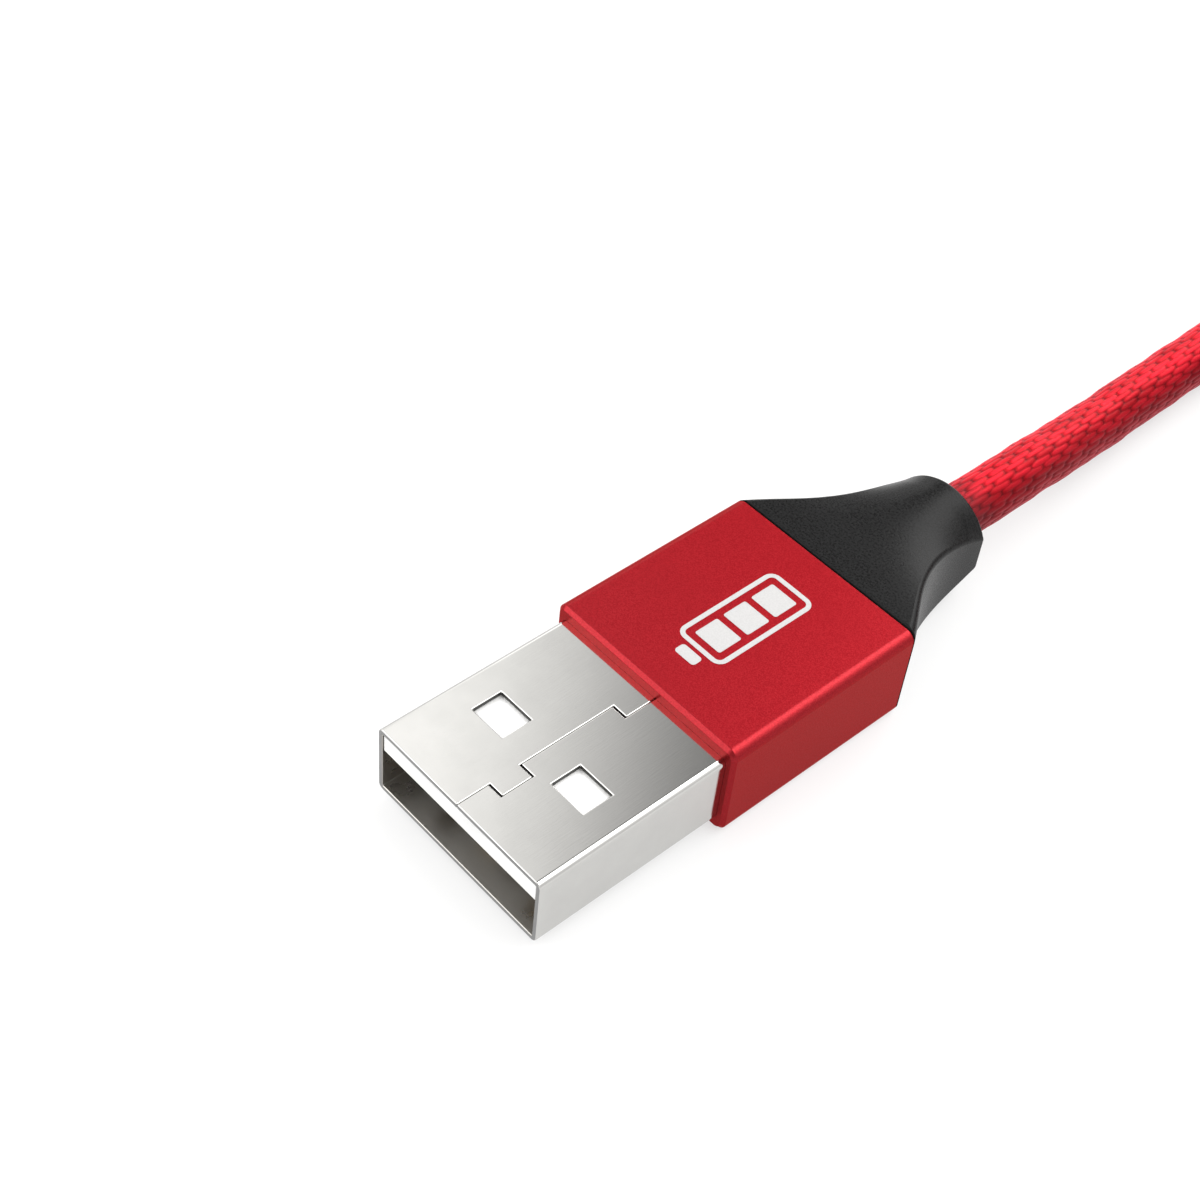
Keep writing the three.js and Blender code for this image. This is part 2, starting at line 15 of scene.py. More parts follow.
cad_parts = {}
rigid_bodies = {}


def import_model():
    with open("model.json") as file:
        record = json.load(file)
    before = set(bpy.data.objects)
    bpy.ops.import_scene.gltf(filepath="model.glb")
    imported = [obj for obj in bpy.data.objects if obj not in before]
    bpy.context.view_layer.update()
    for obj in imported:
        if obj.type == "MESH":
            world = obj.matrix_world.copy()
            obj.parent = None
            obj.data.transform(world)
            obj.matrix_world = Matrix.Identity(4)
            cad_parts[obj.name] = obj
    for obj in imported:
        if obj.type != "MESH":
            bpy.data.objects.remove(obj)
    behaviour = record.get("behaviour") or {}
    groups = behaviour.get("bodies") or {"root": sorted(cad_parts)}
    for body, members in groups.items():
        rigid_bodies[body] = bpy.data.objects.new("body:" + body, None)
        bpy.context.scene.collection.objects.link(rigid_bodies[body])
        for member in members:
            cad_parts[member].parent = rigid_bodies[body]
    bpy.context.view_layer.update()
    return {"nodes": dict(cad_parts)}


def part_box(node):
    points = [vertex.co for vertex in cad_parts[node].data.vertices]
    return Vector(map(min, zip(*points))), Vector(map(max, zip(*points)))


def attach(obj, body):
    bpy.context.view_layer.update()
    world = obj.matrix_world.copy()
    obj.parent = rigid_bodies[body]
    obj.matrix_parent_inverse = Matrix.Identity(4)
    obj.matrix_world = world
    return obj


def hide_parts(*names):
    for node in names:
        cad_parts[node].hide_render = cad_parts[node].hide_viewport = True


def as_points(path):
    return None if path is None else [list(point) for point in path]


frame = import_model()

MM = 0.001
UP = Vector((0, 0, 1))

# ---------------------------------------- camera, light and floor

CAMERA_PLACE = (0.04400, -0.05532, 0.07952)
CAMERA_AZIMUTH = math.radians(43.93)
CAMERA_ELEVATION = math.radians(45.84)
CAMERA_ROLL = math.radians(6.11)
CAMERA_LENS = 60.19
CAMERA_SHIFT = (0.0029, -0.0023)
WORLD_STRENGTH = 13.6  # of the studio where every ramp below is at 1
HORIZON_STRENGTH = 1.02
HORIZON = (0.24, 0.48)  # heights of a direction between which the plain horizon ends


def make_camera():
    data = bpy.data.cameras.new("camera")
    data.lens, data.sensor_width = CAMERA_LENS, 36.0
    data.shift_x, data.shift_y = CAMERA_SHIFT
    data.clip_start, data.clip_end = 0.005, 10.0
    camera = bpy.data.objects.new("camera", data)
    bpy.context.collection.objects.link(camera)
    crevice_shade_and_tone = math.cos(CAMERA_ELEVATION)
    forward = Vector((-math.sin(CAMERA_AZIMUTH) * crevice_shade_and_tone, math.cos(CAMERA_AZIMUTH) * crevice_shade_and_tone,
                      -math.sin(CAMERA_ELEVATION)))
    right = forward.cross(UP).normalized()
    right = Matrix.Rotation(-CAMERA_ROLL, 3, forward) @ right
    rotation = Matrix((right, right.cross(forward), -forward)).transposed()
    camera.matrix_world = Matrix.Translation(CAMERA_PLACE) @ rotation.to_4x4()
    bpy.context.scene.camera = camera


def make_world():
    """A white studio, plain near the horizon. Above it there are a wide bright side, a dark gap, a
    dimmer side opposite with a bright far end, a brighter back and a dimmer front."""
    world = bpy.data.worlds.new("studio")
    bpy.context.scene.world = world
    world.use_nodes = True
    graph = Graph(world.node_tree)
    x, y, height = graph.split(graph.coordinates("Generated"))
    diagonal = math.sqrt(0.5)
    sideways = graph.maths("MULTIPLY", graph.maths("ADD", x, y), -diagonal)
    forwards = graph.maths("MULTIPLY", graph.maths("SUBTRACT", x, y), diagonal)
    across = graph.levels(sideways, (-0.85, 0.25), (-0.68, 0.50), (-0.54, 0.95), (-0.28, 0.95),
                          (-0.20, 0.032), (-0.12, 0.032), (0.09, 0.31), (0.26, 0.24),
                          (0.44, 0.15), (0.64, 0.80))
    front = graph.levels(forwards, (-0.93, 1.0), (-0.80, 0.42), (0.05, 0.42), (0.55, 0.15))
    total = graph.maths("MULTIPLY", graph.maths("MULTIPLY", across, front), WORLD_STRENGTH)
    rise = graph.spread(height, *HORIZON, smooth=True)
    crevice_shade_and_tone = graph.maths("MULTIPLY_ADD", rise, graph.maths("SUBTRACT", total, HORIZON_STRENGTH),
                        HORIZON_STRENGTH)
    background = graph.nodes["Background"]
    graph.put(background.inputs["Strength"], crevice_shade_and_tone)
    background.inputs["Color"].default_value = (1.0, 0.995, 0.985, 1)


def make_floor():
    mesh = bpy.data.meshes.new("floor")
    reach = 3.0
    corners = [(-reach, -reach, 0), (reach, -reach, 0), (reach, reach, 0), (-reach, reach, 0)]
    mesh.from_pydata(corners, [], [(0, 1, 2, 3)])
    floor = bpy.data.objects.new("floor", mesh)
    bpy.context.collection.objects.link(floor)
    mesh.materials.append(Finish("lit_table").made_with(
        Base_Color=(0.30, 0.30, 0.30),
        Emission_Color=(1, 1, 1),
        Emission_Strength=0.62,
        Roughness=0.9,
        Specular_IOR_Level=0.1,
    ))


def make_studio():
    make_world()
    make_floor()
    scene = bpy.context.scene
    scene.view_settings.view_transform = "Standard"
    scene.view_settings.look = "None"


# ---------------------------------------- material helpers


class Graph:
    """Short calls that add nodes to one node tree."""

    def __init__(self, tree):
        self.nodes, self.links = tree.nodes, tree.links

    def put(self, socket, value):
        if isinstance(value, bpy.types.NodeSocket):
            self.links.new(value, socket)
        else:
            socket.default_value = value

    def coordinates(self, kind="Object"):
        return self.nodes.new("ShaderNodeTexCoord").outputs[kind]

    def maths(self, operation, *values):
        node = self.nodes.new("ShaderNodeMath")
        node.operation = operation
        for socket, value in zip(node.inputs, values):
            self.put(socket, value)
        return node.outputs[0]

    def split(self, vector):
        node = self.nodes.new("ShaderNodeSeparateXYZ")
        self.links.new(vector, node.inputs[0])
        return node.outputs

    def combine(self, x, y):
        node = self.nodes.new("ShaderNodeCombineXYZ")
        for socket, value in zip(node.inputs, (x, y)):
            self.put(socket, value)
        return node.outputs[0]

    def stretched(self, vector, scale):
        node = self.nodes.new("ShaderNodeMapping")
        self.links.new(vector, node.inputs["Vector"])
        node.inputs["Scale"].default_value = scale
        return node.outputs[0]

    def noise(self, vector, size, detail=2.0, roughness=0.5):
        """Noise whose features are about size metres across."""
        node = self.nodes.new("ShaderNodeTexNoise")
        self.links.new(vector, node.inputs["Vector"])
        node.inputs["Scale"].default_value = 1 / size
        node.inputs["Detail"].default_value = detail
        node.inputs["Roughness"].default_value = roughness
        return node.outputs["Fac"]

    def spread(self, value, low, high, to_low=0.0, to_high=1.0, smooth=False):
        node = self.nodes.new("ShaderNodeMapRange")
        node.interpolation_type = "SMOOTHSTEP" if smooth else "LINEAR"
        for name, number in (("From Min", low), ("From Max", high),
                             ("To Min", to_low), ("To Max", to_high)):
            node.inputs[name].default_value = number
        self.links.new(value, node.inputs["Value"])
        return node.outputs["Result"]

    def ramp(self, value, *stops, joined="LINEAR"):
        node = self.nodes.new("ShaderNodeValToRGB")
        node.color_ramp.interpolation = joined
        self.links.new(value, node.inputs["Fac"])
        elements = node.color_ramp.elements
        while len(elements) < len(stops):
            elements.new(0.5)
        for element, (place, colour) in zip(elements, stops):
            element.position, element.color = place, (*colour, 1)
        return node.outputs["Color"]

    def levels(self, value, *stops):
        """Strengths at places along a value from -1 to 1, joined smoothly. A ramp holds 0 to 1."""
        greys = [((where + 1) / 2, (strength,) * 3) for where, strength in stops]
        return self.ramp(self.spread(value, -1, 1), *greys, joined="EASE")

    def mix(self, factor, first, second):
        node = self.nodes.new("ShaderNodeMix")
        node.data_type = "RGBA"
        for socket, value in zip((node.inputs[0], node.inputs[6], node.inputs[7]),
                                 (factor, first, second)):
            self.put(socket, (*value, 1) if isinstance(value, tuple) else value)
        return node.outputs[2]

    def bump(self, height, distance, strength=1.0, onto=None):
        node = self.nodes.new("ShaderNodeBump")
        node.inputs["Distance"].default_value = distance
        self.put(node.inputs["Strength"], strength)
        self.links.new(height, node.inputs["Height"])
        if onto is not None:
            self.links.new(onto, node.inputs["Normal"])
        return node.outputs["Normal"]


class Finish(Graph):
    """A new material, with the nodes that drive its shader."""

    def __init__(self, name):
        self.material = bpy.data.materials.new(name)
        self.material.use_nodes = True
        super().__init__(self.material.node_tree)

    def made_with(self, **values):
        shader = self.nodes["Principled BSDF"]
        for name, value in values.items():
            value = (*value, 1) if isinstance(value, tuple) else value
            self.put(shader.inputs[name.replace("_", " ")], value)
        return self.material


# ---------------------------------------- materials


def steel(name, colour=(0.55, 0.545, 0.53), low=0.07, high=0.13, metallic=1.0):
    """Nickel-plated sheet: near-mirror, with a fine drawn grain and faint handling marks."""
    graph = Finish(name)
    place = graph.coordinates()
    grain = graph.noise(graph.stretched(place, (1, 0.06, 1)), 0.00006, 3)
    marks = graph.noise(place, 0.0022, 4, 0.6)
    tone = graph.mix(graph.spread(marks, 0.3, 0.8), colour, tuple(0.93 * c for c in colour))
    return graph.made_with(
        Base_Color=tone,
        Metallic=metallic,
        Roughness=graph.spread(marks, 0.3, 0.8, low, high),
        Normal=graph.bump(grain, 0.0000012, 0.5),
    )


def anodised_red():
    """Red anodised aluminium over a fine bead-blast."""
    graph = Finish("red_anodised")
    place = graph.coordinates()
    blast = graph.noise(place, 0.00011, 2, 0.6)
    sparkle = graph.noise(place, 0.00007, 1)
    cloud = graph.noise(place, 0.004, 2)
    fine = graph.mix(graph.spread(sparkle, 0.35, 0.65), (0.24, 0.005, 0.010),
                     (0.315, 0.012, 0.018))
    tone = graph.mix(graph.spread(cloud, 0.3, 0.7, 0.0, 0.3), fine, (0.25, 0.007, 0.012))
    return graph.made_with(
        Base_Color=tone,
        Metallic=1.0,
        Roughness=graph.spread(blast, 0.3, 0.7, 0.37, 0.46),
        Normal=graph.bump(blast, 0.00001, 0.6),
        Coat_Weight=0.22,
        Coat_Roughness=0.24,
        Specular_Tint=(1.0, 0.16, 0.18),
    )


def rubber():
    """Charcoal elastomer with a satin skin and a fine moulded grain."""
    graph = Finish("charcoal_elastomer")
    place = graph.coordinates()
    grain = graph.noise(place, 0.00013, 3, 0.65)
    cloud = graph.noise(place, 0.003, 3)
    tone = graph.mix(graph.spread(grain, 0.35, 0.65), (0.0015, 0.0015, 0.0015),
                     (0.010, 0.010, 0.0102))
    tone = graph.mix(graph.spread(cloud, 0.3, 0.75, 0.0, 0.35), tone, (0.011, 0.011, 0.0113))
    return graph.made_with(
        Base_Color=tone,
        Roughness=graph.spread(grain, 0.3, 0.7, 0.24, 0.33),
        Normal=graph.bump(grain, 0.00001, 0.6),
        Specular_IOR_Level=0.09,
    )


def plastic(name, colour, roughness=0.4, grain_size=0.0002):
    """Moulded plastic with a faint grain and flow marks."""
    graph = Finish(name)
    place = graph.coordinates()
    grain = graph.noise(place, grain_size, 3, 0.6)
    flow = graph.noise(graph.stretched(place, (1, 0.3, 1)), 0.0015, 2)
    darker = tuple(0.86 * c for c in colour)
    return graph.made_with(
        Base_Color=graph.mix(graph.spread(flow, 0.35, 0.75), colour, darker),
        Roughness=graph.spread(grain, 0.3, 0.7, roughness - 0.06, roughness + 0.08),
        Normal=graph.bump(grain, 0.000004, 0.5),
    )


def gold():
    """Gold plating with fine stamping lines along the contact."""
    graph = Finish("gold_plating")
    place = graph.coordinates()
    lines = graph.noise(graph.stretched(place, (1, 0.05, 1)), 0.00005, 3)
    wear = graph.noise(place, 0.0008, 3)
    return graph.made_with(
        Base_Color=graph.mix(graph.spread(wear, 0.4, 0.8), (0.83, 0.58, 0.24), (0.74, 0.54, 0.27)),
        Metallic=1.0,
        Roughness=graph.spread(wear, 0.3, 0.7, 0.2, 0.34),
        Normal=graph.bump(lines, 0.0000015, 0.5),
    )


def board_green():
    """Solder mask over copper tracks, with pads for the contacts and the wires."""
    graph = Finish("solder_mask")
    place = graph.coordinates()
    pitches = graph.maths("MULTIPLY", graph.split(place)[0], 1 / 0.0005)
    track = graph.maths("LESS_THAN", graph.maths("FRACT", pitches), 0.45)
    glass = graph.noise(place, 0.00012, 2)
    tone = graph.mix(track, (0.02, 0.12, 0.06), (0.05, 0.22, 0.10))
    return graph.made_with(
        Base_Color=graph.mix(graph.spread(glass, 0.3, 0.8, 0, 0.35), tone, (0.02, 0.09, 0.05)),
        Roughness=graph.spread(glass, 0.3, 0.7, 0.25, 0.4),
        Normal=graph.bump(track, 0.00001, 0.4),
    )


def white_print():
    """Screen-printed white ink with a slightly uneven surface."""
    graph = Finish("white_ink")
    place = graph.coordinates()
    ink = graph.noise(place, 0.00009, 2)
    tone = graph.mix(graph.spread(ink, 0.35, 0.7), (0.41, 0.405, 0.405), (0.37, 0.365, 0.365))
    return graph.made_with(
        Base_Color=tone,
        Roughness=graph.spread(ink, 0.3, 0.7, 0.45, 0.6),
        Normal=graph.bump(ink, 0.000006, 0.4),
    )


def strap_fabric():
    """Black hook-and-loop tape: woven ribs under a fuzz of loops."""
    graph = Finish("loop_tape")
    place = graph.coordinates("UV")
    ribs = graph.noise(graph.stretched(place, (1, 0.15, 1)), 0.00035, 2)
    fuzz = graph.noise(place, 0.00018, 4, 0.75)
    both = graph.maths("ADD", graph.maths("MULTIPLY", ribs, 0.5), fuzz)
    return graph.made_with(
        Base_Color=graph.ramp(both, (0.5, (0.003, 0.003, 0.0035)), (1.0, (0.020, 0.020, 0.023))),
        Roughness=0.95,
        Sheen_Weight=0.12,
        Sheen_Roughness=0.5,
        Specular_IOR_Level=0.2,
        Normal=graph.bump(both, 0.00022, 0.8),
    )


# Seen from outside, the braid's yarns lie in rows along the cord. Each float leans a little, its
# ends dive under, and neighbouring rows are half a float apart.
FLOAT_ROWS = 32
FLOAT_PITCH = 0.0019  # length of one float along the cord
FLOAT_LEAN = -0.12  # rows that a float moves sideways in its own length
FLOAT_SLANT = -0.06  # of a float's length, by which its ends are slanted across a row
FLOAT_REACH = 0.66  # half a float's width, in rows


def braid_height(around, along):
    """Height of the braid from 0 to 1. around is in turns and along in metres: numpy arrays."""
    across = around * FLOAT_ROWS
    heights = []
    for side in (-1, 0, 1):
        row = np.floor(across + 0.5) + side
        number = np.mod(row, FLOAT_ROWS)
        odd = np.mod(number, 2)
        off = across - row
        place = along / FLOAT_PITCH + 0.5 * odd + 0.09 * np.sin(2.4 * number) + FLOAT_SLANT * off
        place = place - np.floor(place) - 0.5
        off = off - FLOAT_LEAN * place
        crown = np.sqrt(np.maximum(0.0, 1 - (off / FLOAT_REACH) ** 2))
        heights.append(0.55 * crown + 0.45 * (1 - (2 * place) ** 6))
    return np.maximum(heights[1], np.maximum(heights[0], heights[2]))


def braid_height_nodes(graph):
    """The same height, from the braid's texture map."""
    maths = graph.maths
    around, along, _ = graph.split(graph.coordinates("UV"))
    across = maths("MULTIPLY", around, FLOAT_ROWS)
    steps = maths("DIVIDE", along, FLOAT_PITCH)
    nearest = maths("ROUND", across)
    heights = []
    for side in (-1.0, 0.0, 1.0):
        row = maths("ADD", nearest, side)
        number = maths("FLOORED_MODULO", row, FLOAT_ROWS)
        odd = maths("FLOORED_MODULO", number, 2.0)
        off = maths("SUBTRACT", across, row)
        jitter = maths("MULTIPLY", maths("SINE", maths("MULTIPLY", number, 2.4)), 0.09)
        place = maths("MULTIPLY_ADD", odd, 0.5, maths("ADD", steps, jitter))
        place = maths("MULTIPLY_ADD", off, FLOAT_SLANT, place)
        place = maths("SUBTRACT", maths("FRACT", place), 0.5)
        off = maths("MULTIPLY_ADD", place, -FLOAT_LEAN, off)
        share = maths("DIVIDE", off, FLOAT_REACH)
        room = maths("SUBTRACT", 1.0, maths("MULTIPLY", share, share))
        crown = maths("SQRT", maths("MAXIMUM", room, 0.0))
        square = maths("MULTIPLY", place, maths("MULTIPLY", place, 4.0))
        body = maths("SUBTRACT", 1.0, maths("POWER", square, 3.0))
        heights.append(maths("MULTIPLY_ADD", crown, 0.55, maths("MULTIPLY", body, 0.45)))
    return maths("MAXIMUM", heights[1], maths("MAXIMUM", heights[0], heights[2]))


def braid():
    """Glossy red yarn: bright floats, fine filaments along each yarn and a little fuzz. Painted
    shade darkens it into the crevices, on the cord's underside and on the side that faces +X at
    the plug. The first millimetres at the strain relief are darker and greyer."""
    graph = Finish("red_yarn")
    height = braid_height_nodes(graph)
    around, along, _ = graph.split(graph.coordinates("UV"))
    flat = graph.combine(graph.maths("MULTIPLY", around, 2 * math.pi * CORD_RADIUS), along)
    filaments = graph.noise(graph.stretched(flat, (1, 0.08, 1)), 0.00006, 2)
    wander = graph.noise(graph.stretched(flat, (1, 0.14, 1)), 0.0007, 2)
    # Painted shade: the red darkens from the floats' tops down into the crevices between them; the
    # stretched noise adds random streaks of tone.
    crevice_shade_and_tone = graph.maths("MULTIPLY_ADD", wander, 0.7, graph.maths("SUBTRACT", height, 0.38))
    tone = graph.ramp(
        crevice_shade_and_tone,
        (0.40, (0.070, 0.000, 0.001)),
        (0.60, (0.18, 0.000, 0.002)),
        (0.82, (0.34, 0.002, 0.006)),
        (1.0, (0.60, 0.008, 0.020)),
    )
    # 1 a little to the -X side of the cord's top, and -1 opposite. Painted shade darkens the yarn
    # away from there, most on the underside and on the side that faces +X at the plug, as if lit from
    # above on the -X side.
    facing_the_light = graph.maths("SINE", graph.maths("MULTIPLY_ADD", around, 2 * math.pi, -0.4))
    tone = graph.mix(graph.spread(facing_the_light, 0.0, 0.98, 0.80, 0.0), tone, (0.055, 0.0005, 0.002))
    # Darker and greyer over the first millimetres of cord beside the strain relief.
    darker_by_boot = graph.spread(along, 0.0006, 0.0034, 0.75, 0.0)
    tone = graph.mix(darker_by_boot, tone, (0.05, 0.018, 0.02))
    relief = graph.nodes.new("ShaderNodeAttribute")
    relief.attribute_name = "flatness"
    shaped = graph.bump(height, 0.00016, graph.maths("MULTIPLY", relief.outputs["Fac"], 0.9))
    return graph.made_with(
        Base_Color=tone,
        Roughness=graph.spread(filaments, 0.3, 0.7, 0.30, 0.46),
        Normal=graph.bump(filaments, 0.000018, 0.5, shaped),
        Metallic=0.25,
        Specular_IOR_Level=0.12,
        Specular_Tint=(1.0, 0.30, 0.36),
        Sheen_Weight=0.5,
        Sheen_Roughness=0.4,
        Sheen_Tint=(1.0, 0.09, 0.14),
    )


# ---------------------------------------- mesh helpers


def add_piece(name, points, faces, material, smooth=True, finishes=None):
    mesh = bpy.data.meshes.new(name)
    mesh.from_pydata([tuple(p) for p in points], [], faces)
    for each in material if isinstance(material, (list, tuple)) else [material]:
        mesh.materials.append(each)
    if finishes is not None:
        mesh.polygons.foreach_set("material_index", finishes)
    mesh.validate()
    if smooth:
        mesh.shade_smooth()
    piece = bpy.data.objects.new(name, mesh)
    bpy.context.collection.objects.link(piece)
    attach(piece, "root")
    return piece


def crisp_flats(piece):
    """Shades big flat faces flat and lets only the rounded edges turn."""
    mesh = piece.data
    normals = np.zeros((len(mesh.vertices), 3))
    for face in mesh.polygons:
        weighted = np.array(face.normal) * (face.area * 1e6) ** 3
        for vertex in face.vertices:
            normals[vertex] += weighted
    lengths = np.linalg.norm(normals, axis=1)
    for vertex in np.flatnonzero(lengths == 0):
        normals[vertex] = mesh.vertices[int(vertex)].normal
        lengths[vertex] = 1.0
    normals /= lengths[:, None]
    mesh.normals_split_custom_set_from_vertices([tuple(n) for n in normals])


def section(y, half_width, half_height, corner, steps=8):
    """A rounded rectangle across the plug's axis, from +x through +z, as points."""
    points = []
    for quarter in range(4):
        sx = 1 if quarter in (0, 3) else -1
        sz = 1 if quarter < 2 else -1
        for k in range(steps + 1):
            angle = (quarter + k / steps) * math.pi / 2
            x = sx * (half_width - corner) + corner * math.cos(angle)
            z = sz * (half_height - corner) + corner * math.sin(angle)
            points.append((x, y, z))
    return points


def closed_skin(sections):
    """Points and faces of a ring-shaped solid: sections joined in order, the last to the first."""
    count = len(sections[0])
    points = [p for ring in sections for p in ring]
    faces = []
    for k in range(len(sections)):
        here, there = k * count, (k + 1) % len(sections) * count
        for j in range(count):
            after = (j + 1) % count
            faces.append((here + j, there + j, there + after, here + after))
    return points, faces


def placed(points, plug):
    """Points drawn with the plug's tip at y = 0 and its cord towards +y, where the plug lies."""
    place, turned = plug
    sign = -1 if turned else 1
    return [(place[0] + sign * x, place[1] + sign * y, place[2] + z) for x, y, z in points]


# ---------------------------------------- the two plugs

# Sizes that part.mjs gives each plug, in metres, with its tip at y = 0.
TYPE_A = {
    "place": ((0.0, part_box("shell_a")[0][1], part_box("shell_a")[0][2] + 2.25 * MM), False),
    "housing": {"front": 11.8 * MM, "length": 13.0 * MM, "half": (6.5 * MM, 3.0 * MM),
                "corner": 0.6 * MM, "mouth": (6.004 * MM, 2.254 * MM, 0.354 * MM),
                "rear": (6.15 * MM, 2.65 * MM)},
    "boot": {"length": 10.2 * MM, "end": 2.95 * MM},
}


def centre(node):
    low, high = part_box(node)
    return [(a + b) / 2 for a, b in zip(low, high)]


TYPE_C = {
    "place": ((centre("shell_c")[0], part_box("shell_c")[1][1], centre("shell_c")[2]), True),
    "housing": {"front": 6.65 * MM, "length": 13.0 * MM, "half": (5.5 * MM, 2.6 * MM),
                "corner": 1.0 * MM, "mouth": (4.13 * MM, 1.205 * MM, 1.203 * MM),
                "rear": (5.0 * MM, 2.3 * MM)},
    "boot": {"length": 9.35 * MM, "end": 2.5 * MM},
}


def make_housing(name, plug, material, node):
    """The metal sleeve: a thin chamfer at the front, and long edges rounded."""
    size = plug["housing"]
    front, rear = size["front"], size["front"] + size["length"]
    half_width, half_height = size["half"]
    corner = size["corner"]
    chamfer = 0.2 * MM
    steps = 10
    mouth_width, mouth_height, mouth_corner = size["mouth"]
    soft = 0.03 * MM

    def outer(y, inset):
        return section(y, half_width - inset, half_height - inset, corner - inset, steps)

    def inner(y, grow):
        return section(y, mouth_width + grow, mouth_height + grow, mouth_corner, steps)

    deep = front + 6.8 * MM
    rings = [inner(deep, 0), inner(front + 0.3 * soft, 0), inner(front, 0.3 * soft)]
    rings += [outer(front, chamfer + soft), outer(front + 0.2 * soft, chamfer + 0.3 * soft),
              outer(front + 0.6 * soft, chamfer), outer(front + chamfer, soft),
              outer(front + chamfer + 0.5 * soft, 0.3 * soft), outer(front + chamfer + 2 * soft, 0)]
    edge = 0.1 * MM
    rings += [outer(rear - edge, 0), outer(rear - 0.3 * edge, 0.3 * edge), outer(rear, edge)]
    rear_width, rear_height = size["rear"]
    rings += [section(rear, rear_width, rear_height, corner, steps),
              section(deep, rear_width, rear_height, corner, steps)]
    points, faces = closed_skin(rings)
    piece = add_piece(name, placed(points, plug["place"]), faces, material)
    crisp_flats(piece)
    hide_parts(node)


def shoulder(t, half_width, end, length):
    """The strain relief's plan: a Bezier curve from the housing's width to the arched end."""
    a, b, c, d = ((0, half_width), (0.29 * length, end + 0.46 * (half_width - end)),
                  (0.39 * length, end), (0.88 * length, end))
    weights = ((1 - t) ** 3, 3 * t * (1 - t) ** 2, 3 * t * t * (1 - t), t**3)
    return [sum(w * p[i] for w, p in zip(weights, (a, b, c, d))) for i in (0, 1)]


def boot_ring(y, half_width, half_height, sag, edge, arch_steps=12, edge_steps=8):
    """Upright sides, an arched top and bottom that fall by sag, and soft edges between them."""
    arch_radius = (half_width**2 + sag**2) / (2 * sag)
    inner = arch_radius - edge
    lean = math.asin((half_width - edge) / inner)
    edge_z = half_height - arch_radius + inner * math.cos(lean)
    quarter = []
    for k in range(edge_steps + 1):
        angle = math.pi / 2 + (lean - math.pi / 2) * k / edge_steps
        quarter.append((half_width - edge + edge * math.sin(angle), edge_z + edge * math.cos(angle)))
    for k in range(1, arch_steps + 1):
        angle = lean * (1 - k / arch_steps)
        quarter.append((arch_radius * math.sin(angle),
                        half_height - arch_radius * (1 - math.cos(angle))))
    top = quarter + [(-x, z) for x, z in quarter[-2::-1]]
    return [(x, y, z) for x, z in top] + [(-x, y, -z) for x, z in top]


def round_ring(y, radius, count):
    angles = [(k + 0.5) * 2 * math.pi / count for k in range(count)]
    return [(radius * math.cos(a), y, radius * math.sin(a)) for a in angles]


def make_boot(name, plug, material, node):
    """The strain relief: shoulders that fall in one long curve to an arched end."""
    housing, boot = plug["housing"], plug["boot"]
    half_width, half_height = housing["half"]
    length, end = boot["length"], boot["end"]
    start = housing["front"] + housing["length"]

    def ring(y, width, height):
        along = y / length
        # The top is flat at the housing and arched at the end.
        sag = 0.004 * MM + 0.655 * end * along**2.6
        corner = housing["corner"]
        edge = corner + (0.35 * MM - corner) * min(1.0, along / 0.4)
        return boot_ring(start + y, width, height, sag, edge)

    rows, edge = 40, 0.22 * MM
    rings = []
    for k in range(rows + 1):
        y, width = shoulder(k / rows, half_width, end, length)
        rings.append(ring(y, width, half_height + (end - half_height) * y / length))
    for k in range(5):
        angle = k / 4 * math.pi / 2
        radius = end - edge * (1 - math.cos(angle))
        rings.append(ring(length - edge * (1 - math.sin(angle)), radius, radius))
    count = len(rings[0])
    bore = CORD_RADIUS + 0.12 * MM
    lip = 0.2 * MM
    for back, grow in ((0.0, lip), (0.3 * lip, 0.3 * lip), (lip, 0.0), (3.0 * MM, 0.0)):
        rings.append(round_ring(start + length - back, bore + grow, count))
    rings.append(round_ring(start + 3.4 * MM, 2.4 * MM, count))
    rings.append(round_ring(start, 2.4 * MM, count))
    points, faces = closed_skin(rings)
    piece = add_piece(name, placed(points, plug["place"]), faces, material)
    crisp_flats(piece)
    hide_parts(node)


# ---------------------------------------- USB-A shell

SHELL_HALF = (6.0 * MM, 2.25 * MM)
SHELL_CORNER = 0.35 * MM
SHELL_WALL = 0.3 * MM
SHELL_LENGTH = 18.8 * MM
SEAM_STEP = 0.93 * MM
SEAM_TURNS = (1.97 * MM, 3.9 * MM, 9.85 * MM)
SEAM_SLIT = (0.006 * MM, 0.10 * MM)  # along and across the plug
WINDOW_X = (1.8 * MM, 4.1 * MM)
WINDOW_Y = (4.28 * MM, 6.13 * MM)


def perimeter_point(u):
    """A point on the shell's outer section and its outward direction, at u from the top's middle."""
    half_width, half_height = SHELL_HALF
    corner = SHELL_CORNER
    flat_top, flat_side = half_width - corner, 2 * (half_height - corner)
    arc = corner * math.pi / 2
    total = 4 * flat_top + 2 * flat_side + 4 * arc
    u %= total
    mirrored = u > total / 2
    if mirrored:
        u = total - u
    if u <= flat_top:
        x, z, nx, nz = u, half_height, 0.0, 1.0
    elif u <= flat_top + arc:
        angle = (u - flat_top) / corner
        nx, nz = math.sin(angle), math.cos(angle)
        x, z = flat_top + corner * nx, half_height - corner + corner * nz
    elif u <= flat_top + arc + flat_side:
        x, z, nx, nz = half_width, half_height - corner - (u - flat_top - arc), 1.0, 0.0
    elif u <= flat_top + 2 * arc + flat_side:
        angle = (u - flat_top - arc - flat_side) / corner
        nx, nz = math.cos(angle), -math.sin(angle)
        x, z = flat_top + corner * nx, corner - half_height + corner * nz
    else:
        x, z, nx, nz = total / 2 - u, -half_height, 0.0, -1.0
    return (-x, z, -nx, nz) if mirrored else (x, z, nx, nz)


